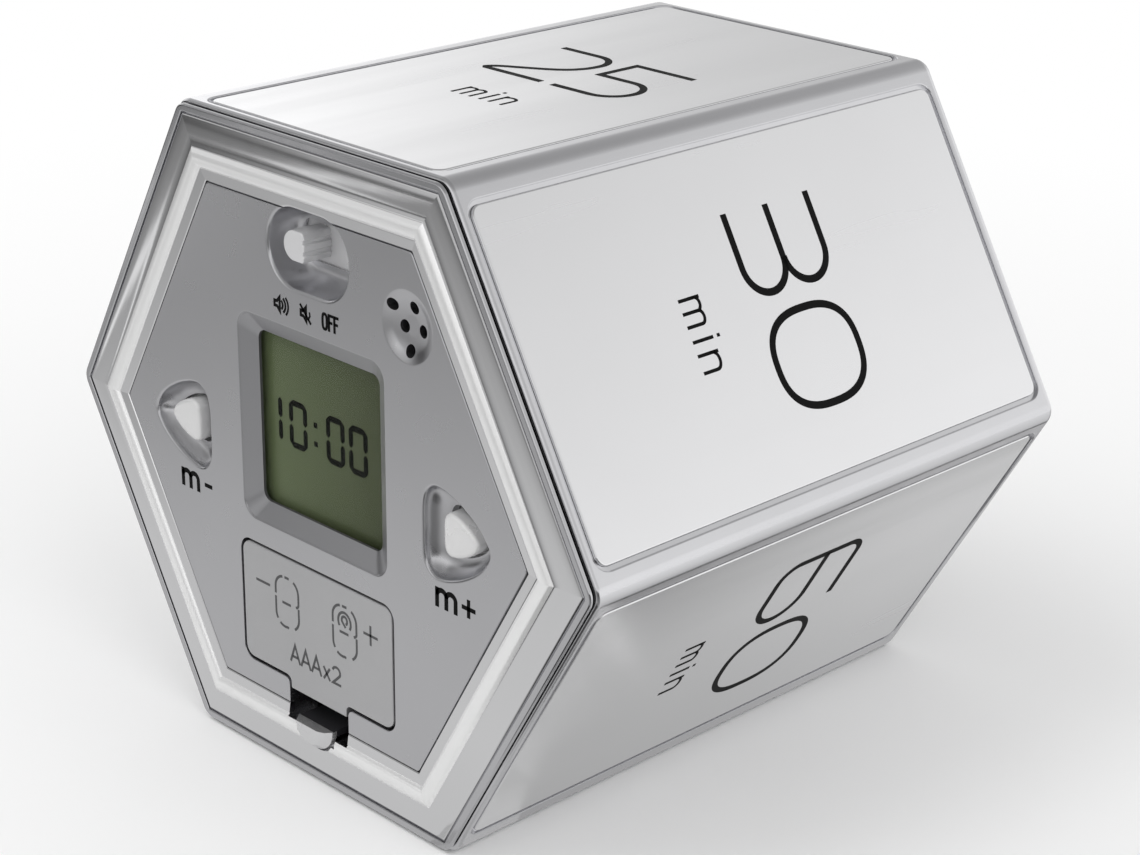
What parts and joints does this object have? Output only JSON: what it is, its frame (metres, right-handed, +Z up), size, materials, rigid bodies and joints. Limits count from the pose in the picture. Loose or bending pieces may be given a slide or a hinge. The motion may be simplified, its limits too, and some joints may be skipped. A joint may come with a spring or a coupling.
{
  "type": "hexagonal flip timer",
  "caption": "Hexagonal prism countdown timer that is set by the side it lies on, with a display end, minus and plus keys, a slide switch and a latched battery door.",
  "frame": {"origin": "on the surface that the timer rests on, under the middle of its length and width", "axes": "+X to the right seen from the display end, -Y the way that the display looks, +Z up"},
  "size_m": [0.0744, 0.0664, 0.065],
  "materials": {
    "silver": "satin silver paint on moulded plastic",
    "rim": "satin silver paint, a little darker",
    "chrome": "bright plating on moulded plastic",
    "panel": "fine satin grey paint",
    "plate": "satin anodised sheet",
    "door": "matt light grey paint",
    "pad": "satin silver paint",
    "button": "smooth white plastic",
    "window": "clear acrylic",
    "glass": "liquid crystal glass with an olive tint",
    "foil": "matt reflector film",
    "black": "plain black moulding",
    "rubber": "conductive silicone strip",
    "board": "green solder mask on glass fibre board",
    "steel": "bright plated steel",
    "cell": "plain printed sleeve over a metal can",
    "red": "red insulated wire",
    "dark": "black insulation or encapsulation"
  },
  "bodies": {
    "timer": {"housing": "silver", "front_ring": "rim", "front_bezel": "chrome", "front_panel": "panel", "rear_cover": "rim", "face_plate_25": "plate", "face_plate_30": "plate", "face_plate_60": "plate", "face_plate_05": "plate", "face_plate_10": "plate", "face_plate_15": "plate", "display_window": "window", "lcd_glass": "glass", "lcd_reflector": "foil", "lcd_holder": "black", "lcd_connector_upper": "rubber", "lcd_connector_lower": "rubber", "main_board": "board", "slide_switch_body": "steel", "minus_switch_body": "steel", "plus_switch_body": "steel", "buzzer": "black", "controller_chip": "dark", "orientation_sensor": "dark", "timing_crystal": "steel", "smoothing_capacitor": "steel", "battery_box": "black", "battery_right": "cell", "battery_left": "cell", "rear_spring_contact": "steel", "rear_plate_contact": "steel", "negative_lead": "dark", "positive_lead": "red", "front_screw_1": "steel", "rear_screw_1": "steel", "front_screw_2": "steel", "rear_screw_2": "steel", "front_screw_3": "steel", "rear_screw_3": "steel", "front_screw_4": "steel", "rear_screw_4": "steel", "board_screw_upper_left": "steel", "board_screw_upper_right": "steel", "board_screw_lower_left": "steel", "board_screw_lower_right": "steel", "box_screw_left": "steel", "box_screw_right": "steel"},
    "slide_switch": {"slide_knob": "silver", "slide_switch_lever": "black"},
    "minus_key": {"minus_button": "button", "minus_plunger": "black"},
    "plus_key": {"plus_button": "button", "plus_plunger": "black"},
    "battery_door": {"battery_door": "door", "door_contact": "steel"},
    "door_latch": {"door_latch": "pad"}
  },
  "joints": [
    {"name": "switch_slide", "type": "slide", "parent": "timer", "child": "slide_switch", "axis": [1, 0, 0], "range_m": [0, 0.004]},
    {"name": "minus_press", "type": "slide", "parent": "timer", "child": "minus_key", "axis": [0, 1, 0], "range_m": [0, 0.0005], "stiffness_N_per_m": 1000, "springref_m": -0.0005},
    {"name": "plus_press", "type": "slide", "parent": "timer", "child": "plus_key", "axis": [0, 1, 0], "range_m": [0, 0.0005], "stiffness_N_per_m": 1000, "springref_m": -0.0005},
    {"name": "door_hinge", "type": "hinge", "parent": "timer", "child": "battery_door", "pos_m": [0, -0.0318, 0.02265], "axis": [-1, 0, 0], "range_deg": [0, 75]},
    {"name": "latch_flex", "type": "hinge", "parent": "battery_door", "child": "door_latch", "pos_m": [0, -0.02647, 0.00783], "axis": [-1, 0, 0], "range_deg": [0, 8], "stiffness_Nm_per_rad": 0.15}
  ]
}
